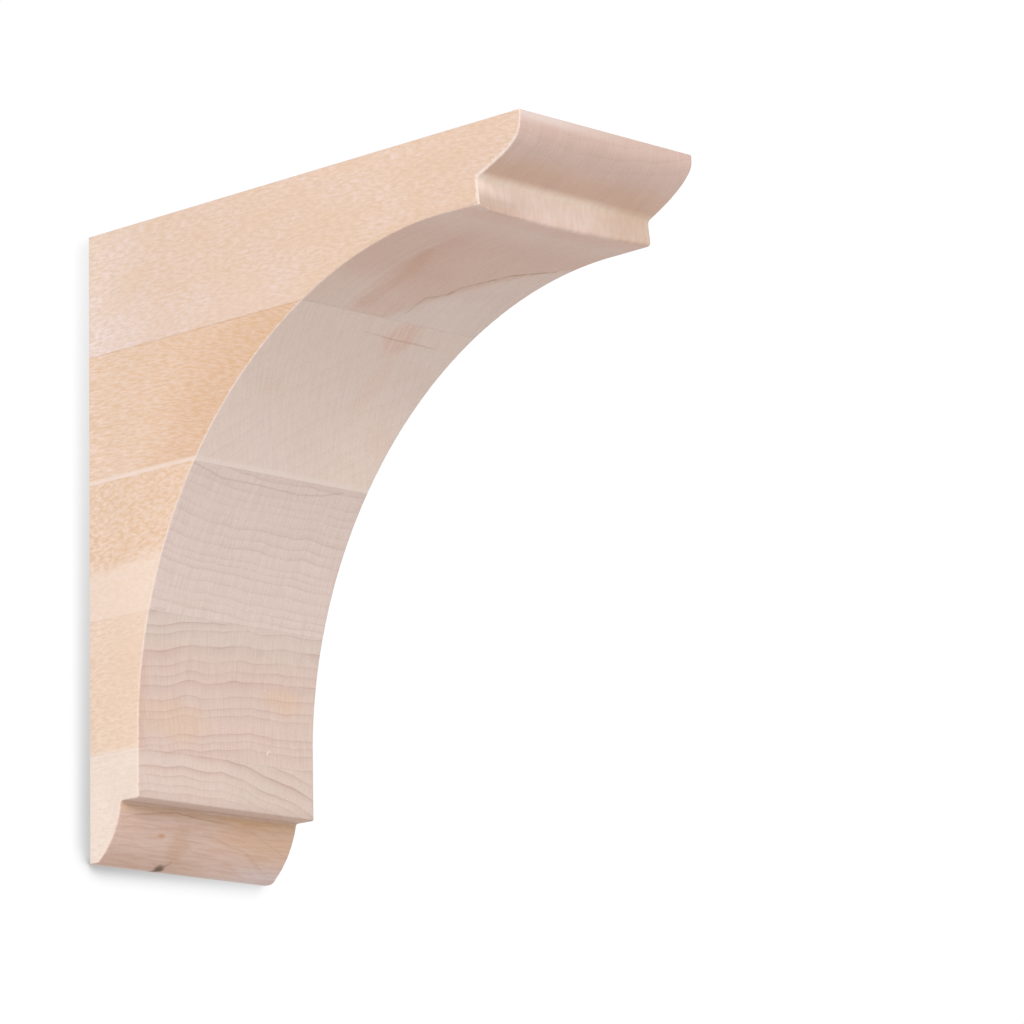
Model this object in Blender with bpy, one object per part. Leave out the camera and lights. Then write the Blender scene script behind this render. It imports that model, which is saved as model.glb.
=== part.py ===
"""Wooden corbel bracket: five boards glued into a block and sawn to one profile.

Metres, +Z up. The origin is the middle of the flat back that is fixed to the wall.
+Y points into the wall, and the nose reaches out along -Y.
"""
import math

import bmesh
import bpy
from mathutils import Vector
from mathutils.geometry import interpolate_bezier

# Thickness of each board in the glued block, from the foot up
FOOT_BOARD = 0.0340
LOWER_BOARD = 0.0430
MIDDLE_BOARD = 0.0441
UPPER_BOARD = 0.0419
TOP_BOARD = 0.0400
GLUE_LINE = 0.0003

# Block across the wall, and out from the wall to the nose
WIDTH = 0.0750
PROJECTION = 0.1945
ARRIS = 0.0004

# Nose, from the top edge down: a flat lip, an ogee and a fillet that leans out
LIP_DROP = 0.0027
OGEE_DROP = 0.0148
OGEE_RUN = 0.0182
ROLL_FULLNESS = 0.58
COVE_FULLNESS = 0.10
FILLET_DROP = 0.0081
FILLET_LEAN = 0.0007

# Hollow under the nose: flat behind the fillet, then a quarter round to the riser
SOFFIT_FLAT = 0.0160
RISER_DEPTH = 0.0230
RISER_HEIGHT = 0.0211
RISER_ROUND = 0.0010

# Foot below the riser: a ledge, a small cove and a bowed face down to the sole
FOOT_HEIGHT = 0.0183
FOOT_DEPTH = 0.0147
FOOT_COVE = 0.0016
FOOT_BOW = 0.0017
SOLE_DEPTH = 0.0030

# Facets of each curve
HOLLOW_STEPS = 90
OGEE_STEPS = 24
BOW_STEPS = 14
CORNER_STEPS = 6

# A turn sharper than this, in degrees, stays a crisp edge
CRISP_ANGLE = 30

# Each board's name, thickness, and the colour of its wood
BOARDS = (
    ("foot_board", FOOT_BOARD, (0.70, 0.52, 0.38)),
    ("lower_board", LOWER_BOARD, (0.66, 0.46, 0.31)),
    ("middle_board", MIDDLE_BOARD, (0.72, 0.55, 0.40)),
    ("upper_board", UPPER_BOARD, (0.61, 0.41, 0.26)),
    ("top_board", TOP_BOARD, (0.65, 0.47, 0.33)),
)
WOOD_ROUGHNESS = 0.62

HEIGHT = sum(thickness for _, thickness, _ in BOARDS)


def round_points(centre, reach, rise, start, end, steps):
    """Points on an ellipse between two angles in degrees, with both ends."""
    points = []
    for step in range(steps + 1):
        angle = math.radians(start + (end - start) * step / steps)
        points.append(centre + Vector((reach * math.cos(angle), rise * math.sin(angle))))
    return points


def bowed_points(start, end, bow, steps):
    """Points on the circle from start to end that bulges to their left by bow."""
    chord = end - start
    radius = (chord.length_squared / 4 + bow ** 2) / (2 * bow)
    left = Vector((-chord.y, chord.x)).normalized()
    centre = (start + end) / 2 - left * (radius - bow)
    half_turn = math.asin(chord.length / 2 / radius)
    points = []
    for step in range(steps + 1):
        turn = half_turn * (1 - 2 * step / steps)
        points.append(centre + radius * (math.cos(turn) * left - math.sin(turn) * chord.normalized()))
    return points


def nose_points():
    """Lip, ogee and fillet, from the top edge down to the edge of the soffit."""
    lip = Vector((PROJECTION, HEIGHT - LIP_DROP))
    throat = lip - Vector((OGEE_RUN, OGEE_DROP))
    roll_handle = lip - Vector((0, ROLL_FULLNESS * OGEE_DROP))
    cove_handle = throat + Vector((0, COVE_FULLNESS * OGEE_DROP))
    ogee = interpolate_bezier(lip, roll_handle, cove_handle, throat, OGEE_STEPS + 1)
    fillet_edge = throat + Vector((FILLET_LEAN, -FILLET_DROP))
    return [Vector((PROJECTION, HEIGHT)), *ogee, fillet_edge]


def hollow_points(soffit_edge):
    """Quarter round from the flat soffit behind the nose to the upright riser."""
    top = soffit_edge - Vector((SOFFIT_FLAT, 0))
    foot = Vector((RISER_DEPTH, FOOT_HEIGHT + RISER_HEIGHT))
    centre = Vector((top.x, foot.y))
    return round_points(centre, top.x - foot.x, top.y - foot.y, 90, 180, HOLLOW_STEPS)


def foot_points():
    """Rounded corner of the riser, ledge, cove and bowed face down to the sole."""
    corner = Vector((RISER_DEPTH - RISER_ROUND, FOOT_HEIGHT + RISER_ROUND))
    cove = Vector((FOOT_DEPTH + FOOT_COVE, FOOT_HEIGHT - FOOT_COVE))
    sole = Vector((SOLE_DEPTH, 0))
    below_cove = Vector((FOOT_DEPTH, cove.y))
    return [
        *round_points(corner, RISER_ROUND, RISER_ROUND, 0, -90, CORNER_STEPS),
        *round_points(cove, FOOT_COVE, FOOT_COVE, 90, 180, CORNER_STEPS),
        *bowed_points(below_cove, sole, FOOT_BOW, BOW_STEPS)[1:],
    ]


def profile():
    """The corbel's outline seen from its side, as distance out and height above the sole."""
    nose = nose_points()
    back = [Vector((0, 0)), Vector((0, HEIGHT))]
    return [*nose, *hollow_points(nose[-1]), *foot_points(), *back]


def sawn_block():
    """The whole glued block sawn to the profile, its side edges softened, as a bmesh."""
    inner_half = WIDTH / 2 - ARRIS
    block = bmesh.new()
    rim = [block.verts.new((-inner_half, -out, up - HEIGHT / 2)) for out, up in profile()]
    swept = bmesh.ops.extrude_face_region(block, geom=[block.faces.new(rim)])
    far_rim = [item for item in swept["geom"] if isinstance(item, bmesh.types.BMVert)]
    bmesh.ops.translate(block, verts=far_rim, vec=(2 * inner_half, 0, 0))
    bmesh.ops.recalc_face_normals(block, faces=block.faces)
    sides = [face for face in block.faces if len(face.verts) == len(rim)]
    bmesh.ops.inset_region(block, faces=sides, thickness=ARRIS, depth=ARRIS, use_even_offset=True)
    return block


def saw_off(board, level, direction):
    """Saw the board flat at a level, drop what lies beyond it and close the cut face."""
    everything = [*board.verts, *board.edges, *board.faces]
    cut = bmesh.ops.bisect_plane(
        board, geom=everything, plane_co=(0, 0, level), plane_no=direction, clear_outer=True
    )
    rim = [item for item in cut["geom_cut"] if isinstance(item, bmesh.types.BMEdge)]
    bmesh.ops.contextual_create(board, geom=rim)


def wood(name, colour):
    """A plain wood material of one colour."""
    material = bpy.data.materials.new(name)
    material.use_nodes = True
    shader = material.node_tree.nodes["Principled BSDF"]
    shader.inputs["Base Color"].default_value = (*colour, 1)
    shader.inputs["Roughness"].default_value = WOOD_ROUGHNESS
    shader.inputs["Metallic"].default_value = 0
    return material


def board_from(block, low, high, glued_below, glued_above):
    """The board between two levels of the block, standing at its own lower level."""
    board = block.copy()
    if glued_below:
        saw_off(board, low + GLUE_LINE / 2, (0, 0, -1))
    if glued_above:
        saw_off(board, high - GLUE_LINE / 2, (0, 0, 1))
    bmesh.ops.translate(board, verts=board.verts, vec=(0, 0, -low))
    bmesh.ops.recalc_face_normals(board, faces=board.faces)
    return board


def add_object(name, board, colour, low, parent):
    """Turn a board's bmesh into a named object at its place in the stack."""
    mesh = bpy.data.meshes.new(name)
    board.to_mesh(mesh)
    board.free()
    mesh.shade_smooth()
    mesh.set_sharp_from_angle(angle=math.radians(CRISP_ANGLE))
    mesh.materials.append(wood(name, colour))
    item = bpy.data.objects.new(name, mesh)
    item.location.z = low
    item.parent = parent
    bpy.context.collection.objects.link(item)


def build():
    """Clear the file, then stack the five boards on an empty at the wall face."""
    for item in list(bpy.data.objects):
        bpy.data.objects.remove(item, do_unlink=True)
    corbel = bpy.data.objects.new("corbel_bracket", None)
    bpy.context.collection.objects.link(corbel)
    block = sawn_block()
    low = -HEIGHT / 2
    for place, (name, thickness, colour) in enumerate(BOARDS):
        is_lowest = place == 0
        is_highest = place == len(BOARDS) - 1
        board = board_from(block, low, low + thickness, not is_lowest, not is_highest)
        add_object(name, board, colour, low, corbel)
        low += thickness
    block.free()


build()
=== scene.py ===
import math

import bmesh
import bpy
from mathutils import Matrix, Vector, noise
from mathutils.geometry import interpolate_bezier


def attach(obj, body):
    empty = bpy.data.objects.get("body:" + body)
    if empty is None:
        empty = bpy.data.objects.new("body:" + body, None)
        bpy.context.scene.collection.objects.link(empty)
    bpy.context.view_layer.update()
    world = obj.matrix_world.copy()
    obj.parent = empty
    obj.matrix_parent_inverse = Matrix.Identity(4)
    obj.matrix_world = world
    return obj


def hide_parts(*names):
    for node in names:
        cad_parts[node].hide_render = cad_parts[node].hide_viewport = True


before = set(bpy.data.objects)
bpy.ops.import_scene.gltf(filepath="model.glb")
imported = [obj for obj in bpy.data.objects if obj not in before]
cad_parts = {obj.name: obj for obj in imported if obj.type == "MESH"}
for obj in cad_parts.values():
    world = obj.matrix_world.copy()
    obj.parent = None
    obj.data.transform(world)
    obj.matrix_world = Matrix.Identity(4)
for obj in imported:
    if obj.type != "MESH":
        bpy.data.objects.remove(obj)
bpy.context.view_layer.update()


# Foot board. The lowest of five maple boards that lie flat on each other, grain running
# out from the wall, glued into one block. The block is sawn and moulded to one profile
# right across, then every long edge is softened with sandpaper.

WIDTH = 0.0750
SOLE_LEVEL = -0.1015
GLUE_LINE = 0.00002

# Heights above the sole and distances out from the wall
FOOT_TOP = 0.0340
FOOT_HEIGHT = 0.0183
FOOT_DEPTH = 0.0147
FOOT_COVE = 0.0009
RISER_DEPTH = 0.0230
RISER_ROUND = 0.0007

# The bowed face at its left and right ends: how far it swells, where its toe stands on
# the sole, and how round the toe is
FOOT_BOW = (0.0019, 0.0015)
SOLE_DEPTH = (0.0036, 0.0019)
SOLE_ROUND = (0.0012, 0.0036)
TOE_SWEEP = (-90, -40)
TOE_TANGENT = Vector((0.80, -0.60))

# Facets of each curve and straight, and how far apart the sweep's rims stand
TOE_STEPS = 6
BOW_STEPS = 28
COVE_STEPS = 10
CORNER_STEPS = 8
STRAIGHT_STEPS = 20
FOOT_SPACING = 0.015

ARRIS = 0.0005
ARRIS_STEPS = 4
ARRIS_WANDER = 0.45
ARRIS_WANDER_LENGTH = 0.0016
FLAT_BESIDE_ARRIS = 0.0004
CRISP_ANGLE = 30


def round_points(centre, radius, start, end, steps):
    """Points on a circle between two angles in degrees, with both ends."""
    points = []
    for step in range(steps + 1):
        angle = math.radians(start + (end - start) * step / steps)
        points.append(centre + radius * Vector((math.cos(angle), math.sin(angle))))
    return points


def straight_points(start, end):
    """Points along a straight, without its ends."""
    return [start + (end - start) * step / STRAIGHT_STEPS for step in range(1, STRAIGHT_STEPS)]


def bowed_points(start, end, bow, steps):
    """Points on the circle from start to end that bulges to their right by bow."""
    chord = end - start
    radius = (chord.length_squared / 4 + bow ** 2) / (2 * bow)
    right = Vector((chord.y, -chord.x)).normalized()
    centre = (start + end) / 2 - right * (radius - bow)
    half_turn = math.asin(chord.length / 2 / radius)
    points = []
    for step in range(steps + 1):
        turn = half_turn * (2 * step / steps - 1)
        points.append(centre + radius * (math.cos(turn) * right + math.sin(turn) * chord.normalized()))
    return points


def inward_steps(outline, glued):
    """How each corner of an outline moves when its bare edges draw in by one metre.

    An edge along a glued level stays where it is, so the boards go on meeting flush there.
    """
    count = len(outline)
    normals = []
    for place in range(count):
        start = outline[place]
        end = outline[(place + 1) % count]
        along = (end - start).normalized()
        is_glued = abs(along.y) < 1e-6 and any(abs(start.y - level) < 1e-6 for level in glued)
        normals.append(None if is_glued else Vector((-along.y, along.x)))
    steps = []
    for place in range(count):
        before = normals[place - 1]
        after = normals[place]
        if before is None:
            steps.append(Vector((1 / after.x, 0)))
        elif after is None:
            steps.append(Vector((1 / before.x, 0)))
        else:
            steps.append((before + after) / (1 + before.dot(after)))
    return steps


def places_across(spacing):
    """Places across the width, each with how far the outline draws in to round the arris there."""
    half = WIDTH / 2
    edge = []
    for step in range(ARRIS_STEPS + 1):
        angle = math.radians(90 * step / ARRIS_STEPS)
        edge.append((half - ARRIS * (1 - math.cos(angle)), ARRIS * (1 - math.sin(angle))))
    inner_half = half - ARRIS - FLAT_BESIDE_ARRIS
    count = max(1, round(2 * inner_half / spacing))
    middle = [(inner_half - 2 * inner_half * step / count, 0) for step in range(count + 1)]
    far_edge = [(-across, drawn_in) for across, drawn_in in reversed(edge)]
    return [*edge, *middle, *far_edge]


def plain_wear(across, corner):
    """How much wider or narrower than its usual width an arris is at a corner of the outline."""
    here = Vector((math.copysign(WIDTH, across), corner.x, corner.y)) / ARRIS_WANDER_LENGTH
    return 1 + ARRIS_WANDER * noise.noise(here)


def swept_board(outline_at, glued, spacing, wear_at=plain_wear):
    """A board as a bmesh: its outline, as distance out and height above the sole, swept across."""
    board = bmesh.new()
    rims = []
    for across, drawn_in in places_across(spacing):
        outline = outline_at(across)
        rim = []
        for corner, step in zip(outline, inward_steps(outline, glued)):
            out, up = corner + step * drawn_in * wear_at(across, corner)
            rim.append(board.verts.new((across, -out, SOLE_LEVEL + up)))
        rims.append(rim)
    for near, far in zip(rims, rims[1:]):
        for place in range(len(near)):
            board.faces.new((near[place - 1], near[place], far[place], far[place - 1]))
    for face in board.faces:
        face.smooth = True
    board.faces.new(rims[0])
    board.faces.new(rims[-1])
    bmesh.ops.recalc_face_normals(board, faces=board.faces)
    return board


def glued_in_place(name, board, material):
    """Turn a board's bmesh into the piece that stands for its node in the block."""
    mesh = bpy.data.meshes.new(name)
    board.to_mesh(mesh)
    board.free()
    mesh.set_sharp_from_angle(angle=math.radians(CRISP_ANGLE))
    mesh.materials.append(material)
    piece = bpy.data.objects.new(name + "_maple", mesh)
    bpy.context.collection.objects.link(piece)
    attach(piece, "root")
    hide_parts(name)
    return piece


def between(ends, across):
    """A size that changes evenly from the left end of the bracket to the right end."""
    return ends[0] + (ends[1] - ends[0]) * (0.5 + across / WIDTH)


def foot_outline(across):
    """The foot board's outline: sole, bowed face, cove, ledge, riser, glue line and back."""
    cove = Vector((FOOT_DEPTH + FOOT_COVE, FOOT_HEIGHT - FOOT_COVE))
    corner = Vector((RISER_DEPTH - RISER_ROUND, FOOT_HEIGHT + RISER_ROUND))
    toe_round = between(SOLE_ROUND, across)
    toe = Vector((between(SOLE_DEPTH, across), toe_round))
    toe_top = toe + toe_round * TOE_TANGENT
    face_top = Vector((FOOT_DEPTH, cove.y))
    glue = Vector((RISER_DEPTH, FOOT_TOP - GLUE_LINE / 2))
    riser_foot = Vector((RISER_DEPTH, corner.y))
    return [
        Vector((0, 0)),
        *round_points(toe, toe_round, *TOE_SWEEP, TOE_STEPS),
        *bowed_points(toe_top, face_top, between(FOOT_BOW, across), BOW_STEPS),
        *round_points(cove, FOOT_COVE, 180, 90, COVE_STEPS)[1:],
        *round_points(corner, RISER_ROUND, -90, 0, CORNER_STEPS),
        *straight_points(riser_foot, glue),
        glue,
        Vector((0, glue.y)),
    ]


def add_node(tree, kind, inputs=None, **settings):
    """A shader node, with its settings made and its inputs set or linked."""
    item = tree.nodes.new("ShaderNode" + kind)
    for setting, value in settings.items():
        setattr(item, setting, value)
    for socket, value in (inputs or {}).items():
        if isinstance(value, bpy.types.NodeSocket):
            tree.links.new(value, item.inputs[socket])
        else:
            item.inputs[socket].default_value = value
    return item


def maths(tree, operation, *values):
    """The result of one sum on numbers or sockets."""
    return add_node(tree, "Math", dict(enumerate(values)), operation=operation).outputs[0]


def rising(tree, value, low, high):
    """A mask that climbs smoothly from 0 where the value is low to 1 where it is high."""
    ends = {"Value": value, "From Min": low, "From Max": high}
    return add_node(tree, "MapRange", ends, interpolation_type="SMOOTHSTEP").outputs[0]


def graded(tree, value, start, end, low=0, high=1):
    """A number that goes evenly from start to end while the value goes from low to high."""
    ends = {"Value": value, "From Min": low, "From Max": high, "To Min": start, "To Max": end}
    return add_node(tree, "MapRange", ends).outputs[0]


def blended(tree, amount, first, second):
    """The first colour going over to the second by an amount."""
    mix = add_node(tree, "Mix", {0: amount, 6: first, 7: second}, data_type="RGBA")
    return mix.outputs[2]


def tinted(tree, colour, mask, tint):
    """A colour multiplied by a tint where a mask says, so that its grain still shows."""
    mix = add_node(
        tree, "Mix", {0: mask, 6: colour, 7: (*tint, 1)}, data_type="RGBA", blend_type="MULTIPLY"
    )
    return mix.outputs[2]


def flecked(tree, position, size, detail):
    """Soft noise around 0.5 whose specks have a size in metres along each axis."""
    stretched = add_node(tree, "VectorMath", {0: position, 1: size}, operation="DIVIDE").outputs[0]
    speckle = add_node(tree, "TexNoise", {"Vector": stretched, "Scale": 1, "Detail": detail})
    return speckle.outputs[0]


def shader_group(name, inputs, outputs):
    """A shader node group with named sockets; gives the tree, what comes in and what goes out."""
    tree = bpy.data.node_groups.new(name, "ShaderNodeTree")
    for label, kind in inputs.items():
        tree.interface.new_socket(name=label, in_out="INPUT", socket_type="NodeSocket" + kind)
    for label, kind in outputs.items():
        tree.interface.new_socket(name=label, in_out="OUTPUT", socket_type="NodeSocket" + kind)
    given = tree.nodes.new("NodeGroupInput").outputs
    result = tree.nodes.new("NodeGroupOutput").inputs
    return tree, given, result


# Maple's figure: sizes of its specks across, out and up, where each mask starts and is
# full, and the share that each part has
SIDE_RANGE = (0.55, 0.95)
OFF_WALL_OUT = (-0.0006, -0.0025)
BELOW_TOP_UP = (0.1014, 0.1009)
END_GRAIN_RANGE = (0.1, 0.95)
BROAD_SWAY_SIZE = (0.015, 0.12, 0.03)
FINE_SWAY_SIZE = (0.004, 0.03, 0.006)
CRISP_RANGE = (0.84, 0.95)
CRISP_FALL = (1.0, 0.965)
SOFT_RANGE = (1.0, 0.93)
RING_FADE_SIZE = (0.02, 0.06, 0.008)
RING_FADE_RANGE = (0.3, 0.62)
DASH_RANGE = (0.3, 0.7)
SPECK_SIZE = (0.0007, 0.0016, 0.0006)
SPECK_RANGE = (0.32, 0.68)
RAY_SIZE = (0.0005, 0.03, 0.009)
RAY_RANGE = (0.36, 0.66)
CLOUD_SIZE = (0.022, 0.024, 0.01)
CLOUD_RANGE = (0.38, 0.62)
# Painted light: the sides grow paler over the last stretch towards the wall
PAINTED_LIGHT_BESIDE_WALL_OUT = (-0.015, -0.002)
PAINTED_LIGHT_BESIDE_WALL_TINT = (1.065, 1.08, 1.095)
WEAKEST_RING = 0.50
FADED_RING = 0.45
RING_ON_LONG_GRAIN = 0.12
CLOUD_ON_FACE = 0.3
FINE_SWAY = 0.12
RING_DRIFT = 0.37
UNEVEN_RINGS = 1.4
RING_BUILD_UP = 2.5
CRISP_SHARE = 0.36
SOFT_SHARE = 0.64
SPECK_STRENGTH = 0.10
SPECK_RELIEF = 0.6
DASH_RELIEF = 0.4


def maple_group():
    """Maple with its pith running out from the wall: rings, rays and drifting colour.

    The figure is solid, so it runs on over every edge. Sides show long grain, and
    the face towards the room shows the rings end on.
    """
    tree, given, result = shader_group(
        "maple",
        {
            "Position": "Vector",
            "Side Colour": "Color",
            "Face Colour": "Color",
            "Cloud Colour": "Color",
            "Cloud Strength": "Float",
            "Ring Colour": "Color",
            "Ring Strength": "Float",
            "Ring Spacing": "Float",
            "Ring Wave": "Float",
            "Pith Across": "Float",
            "Pith Height": "Float",
            "Fleck Colour": "Color",
            "Fleck Strength": "Float",
            "Fleck Size": "Vector",
            "Grain Dip": "Float",
            "Ray Strength": "Float",
        },
        {
            "Colour": "Color", "Rings": "Float", "Rays": "Float", "Side": "Float", "Front": "Float",
            "Height": "Float",
        },
    )
    position = given["Position"]
    place = add_node(tree, "SeparateXYZ", {0: position}).outputs
    normal = add_node(tree, "NewGeometry").outputs["Normal"]
    facing = add_node(tree, "SeparateXYZ", {0: normal}).outputs
    side = rising(tree, maths(tree, "ABSOLUTE", facing["X"]), *SIDE_RANGE)
    not_side = maths(tree, "SUBTRACT", 1, side)
    off_wall = rising(tree, place["Y"], *OFF_WALL_OUT)
    below_top = rising(tree, place["Z"], *BELOW_TOP_UP)
    front = maths(tree, "MULTIPLY", not_side, maths(tree, "MULTIPLY", off_wall, below_top))
    end_grain = rising(tree, maths(tree, "ABSOLUTE", facing["Y"]), *END_GRAIN_RANGE)

    # Growth rings: distance from the pith, swaying a little, then counted off in rings
    broad_sway = maths(tree, "SUBTRACT", flecked(tree, position, BROAD_SWAY_SIZE, 1), 0.5)
    fine_sway = maths(tree, "SUBTRACT", flecked(tree, position, FINE_SWAY_SIZE, 1), 0.5)
    sway = maths(tree, "ADD", broad_sway, maths(tree, "MULTIPLY", fine_sway, FINE_SWAY))
    from_pith_x = maths(tree, "SUBTRACT", place["X"], given["Pith Across"])
    from_pith_z = maths(tree, "SUBTRACT", place["Z"], given["Pith Height"])
    squares = maths(
        tree, "ADD", maths(tree, "POWER", from_pith_x, 2), maths(tree, "POWER", from_pith_z, 2)
    )
    radius = maths(
        tree, "ADD", maths(tree, "SQRT", squares), maths(tree, "MULTIPLY", sway, given["Ring Wave"])
    )
    turns = maths(tree, "DIVIDE", radius, given["Ring Spacing"])
    uneven = add_node(
        tree, "TexNoise", {"W": turns, "Scale": RING_DRIFT, "Detail": 1}, noise_dimensions="1D"
    ).outputs[0]
    count = maths(tree, "ADD", turns, maths(tree, "MULTIPLY", uneven, UNEVEN_RINGS))
    through = maths(tree, "FRACT", count)
    ring_dice = add_node(
        tree, "TexWhiteNoise", {"W": maths(tree, "FLOOR", count)}, noise_dimensions="1D"
    ).outputs["Value"]
    crisp = maths(
        tree, "MULTIPLY", rising(tree, through, *CRISP_RANGE), rising(tree, through, *CRISP_FALL)
    )
    soft = maths(
        tree, "MULTIPLY", maths(tree, "POWER", through, RING_BUILD_UP),
        rising(tree, through, *SOFT_RANGE),
    )
    crisp_part = maths(tree, "MULTIPLY", crisp, CRISP_SHARE)
    soft_part = maths(tree, "MULTIPLY", soft, SOFT_SHARE)
    ring = maths(tree, "ADD", crisp_part, soft_part)
    ring_fade = rising(tree, flecked(tree, position, RING_FADE_SIZE, 2), *RING_FADE_RANGE)
    ring_pull = maths(
        tree, "MULTIPLY", graded(tree, ring_dice, WEAKEST_RING, 1), graded(tree, ring_fade, FADED_RING, 1)
    )
    ring_view = graded(tree, end_grain, RING_ON_LONG_GRAIN, 1)
    rings = maths(
        tree, "MULTIPLY", maths(tree, "MULTIPLY", ring, ring_pull),
        maths(tree, "MULTIPLY", ring_view, given["Ring Strength"]),
    )

    # Rays: short dashes on the sides, which dip as they leave the wall, and pale upright lines in front
    out_squared = maths(tree, "POWER", place["Y"], 2)
    dip = maths(tree, "MULTIPLY", out_squared, given["Grain Dip"])
    straightened = maths(tree, "ADD", place["Z"], dip)
    along_grain = add_node(
        tree, "CombineXYZ", {0: place["X"], 1: place["Y"], 2: straightened}
    ).outputs[0]
    dash = rising(tree, flecked(tree, along_grain, given["Fleck Size"], 4), *DASH_RANGE)
    fleck = maths(tree, "MULTIPLY", dash, maths(tree, "MULTIPLY", side, given["Fleck Strength"]))
    speck = rising(tree, flecked(tree, along_grain, SPECK_SIZE, 1), *SPECK_RANGE)
    ray_foot = maths(
        tree, "MULTIPLY", maths(tree, "DIVIDE", from_pith_x, from_pith_z), given["Pith Height"]
    )
    along_ray = add_node(tree, "CombineXYZ", {0: ray_foot, 1: place["Y"], 2: place["Z"]}).outputs[0]
    ray = rising(tree, flecked(tree, along_ray, RAY_SIZE, 1), *RAY_RANGE)
    ray_line = maths(tree, "MULTIPLY", ray, maths(tree, "MULTIPLY", not_side, given["Ray Strength"]))

    cloud = rising(tree, flecked(tree, position, CLOUD_SIZE, 4), *CLOUD_RANGE)
    cloud_view = graded(tree, side, CLOUD_ON_FACE, 1)
    cloudy = maths(tree, "MULTIPLY", cloud, maths(tree, "MULTIPLY", cloud_view, given["Cloud Strength"]))
    ground = blended(tree, side, given["Face Colour"], given["Side Colour"])
    clouded = blended(tree, cloudy, ground, given["Cloud Colour"])
    # Painted light: the sides grow paler over the last stretch towards the wall
    painted_light_beside_wall = maths(tree, "MULTIPLY", side, rising(tree, place["Y"], *PAINTED_LIGHT_BESIDE_WALL_OUT))
    clouded = tinted(tree, clouded, painted_light_beside_wall, PAINTED_LIGHT_BESIDE_WALL_TINT)
    flecks = blended(tree, fleck, clouded, given["Fleck Colour"])
    combed = blended(tree, ray_line, flecks, given["Ring Colour"])
    specked = blended(tree, maths(tree, "MULTIPLY", speck, SPECK_STRENGTH), combed, given["Ring Colour"])
    coloured = blended(tree, rings, specked, given["Ring Colour"])

    speck_relief = maths(tree, "MULTIPLY", speck, SPECK_RELIEF)
    dash_relief = maths(tree, "MULTIPLY", dash, DASH_RELIEF)
    pores = maths(tree, "ADD", speck_relief, dash_relief)
    tree.links.new(coloured, result["Colour"])
    tree.links.new(rings, result["Rings"])
    tree.links.new(ray, result["Rays"])
    tree.links.new(side, result["Side"])
    tree.links.new(front, result["Front"])
    tree.links.new(maths(tree, "SUBTRACT", 1, maths(tree, "ADD", pores, rings)), result["Height"])
    return tree


# Softened arris: how far the surface leans where it starts and ends, the size of its frayed
# fibres, and their least and greatest strength with the noise level of each
ROUNDING_RANGE = (0.1, 0.3)
ROUNDING_FALL = (0.99, 0.94)
FRAY_SIZE = (0.004, 0.0012, 0.0012)
FRAYED_ENDS = (0.05, 1.15, 0.35, 0.65)


def softened_arris_group():
    """Mask of the rounded side edges, where sandpaper has cut through the ends of the fibres."""
    tree, given, result = shader_group("softened_arris", {"Position": "Vector"}, {"Mask": "Float"})
    normal = add_node(tree, "NewGeometry").outputs["Normal"]
    facing = add_node(tree, "SeparateXYZ", {0: normal}).outputs
    lean = maths(tree, "ABSOLUTE", facing["X"])
    rounding = maths(
        tree, "MULTIPLY", rising(tree, lean, *ROUNDING_RANGE), rising(tree, lean, *ROUNDING_FALL)
    )
    fray = flecked(tree, given["Position"], FRAY_SIZE, 3)
    frayed = graded(tree, fray, *FRAYED_ENDS)
    tree.links.new(maths(tree, "MULTIPLY", rounding, frayed), result["Mask"])
    return tree


# Spots: how their edges wander and soften
WANDER_SIZE = (0.7, 0.7, 0.7)
SPOT_EDGE = (1.0, 0.35)


def spot_group():
    """Mask of one soft-edged spot of a given place and size inside the wood."""
    tree, given, result = shader_group(
        "spot",
        {"Position": "Vector", "Centre": "Vector", "Size": "Vector", "Raggedness": "Float"},
        {"Mask": "Float"},
    )
    away = add_node(
        tree, "VectorMath", {0: given["Position"], 1: given["Centre"]}, operation="SUBTRACT"
    ).outputs[0]
    scaled = add_node(tree, "VectorMath", {0: away, 1: given["Size"]}, operation="DIVIDE").outputs[0]
    distance = add_node(tree, "VectorMath", {0: scaled}, operation="LENGTH").outputs["Value"]
    wander = maths(tree, "SUBTRACT", flecked(tree, scaled, WANDER_SIZE, 3), 0.5)
    edge = maths(tree, "ADD", distance, maths(tree, "MULTIPLY", wander, given["Raggedness"]))
    tree.links.new(rising(tree, edge, *SPOT_EDGE), result["Mask"])
    return tree


# Hairlines: how they tremble, and how their edges soften
TREMOR_SCALE = 500
HAIRLINE_EDGE = (1.0, 0.3)


def hairline_group():
    """Mask of a fine line between two points inside the wood, wavering as it goes."""
    tree, given, result = shader_group(
        "hairline",
        {"Position": "Vector", "Start": "Vector", "End": "Vector", "Width": "Float", "Waver": "Float"},
        {"Mask": "Float"},
    )

    def vectors(operation, first, second=(0, 0, 0)):
        return add_node(tree, "VectorMath", {0: first, 1: second}, operation=operation).outputs

    def stretched(vector, share):
        return add_node(tree, "VectorMath", {0: vector, 3: share}, operation="SCALE").outputs["Vector"]

    tremor = add_node(
        tree, "TexNoise", {"Vector": given["Position"], "Scale": TREMOR_SCALE, "Detail": 1}
    ).outputs[1]
    centred = vectors("SUBTRACT", tremor, (0.5, 0.5, 0.5))["Vector"]
    moved = vectors("ADD", given["Position"], stretched(centred, given["Waver"]))["Vector"]
    line = vectors("SUBTRACT", given["End"], given["Start"])["Vector"]
    from_start = vectors("SUBTRACT", moved, given["Start"])["Vector"]
    reach = vectors("DOT_PRODUCT", from_start, line)["Value"]
    length_squared = vectors("DOT_PRODUCT", line, line)["Value"]
    share = add_node(
        tree, "Math", {0: reach, 1: length_squared}, operation="DIVIDE", use_clamp=True
    ).outputs[0]
    nearest = stretched(line, share)
    away = vectors("LENGTH", vectors("SUBTRACT", from_start, nearest)["Vector"])["Value"]
    from_edge = maths(tree, "DIVIDE", away, given["Width"])
    tree.links.new(rising(tree, from_edge, *HAIRLINE_EDGE), result["Mask"])
    return tree


maple = maple_group()
softened_arris = softened_arris_group()
spot = spot_group()
hairline = hairline_group()

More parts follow.
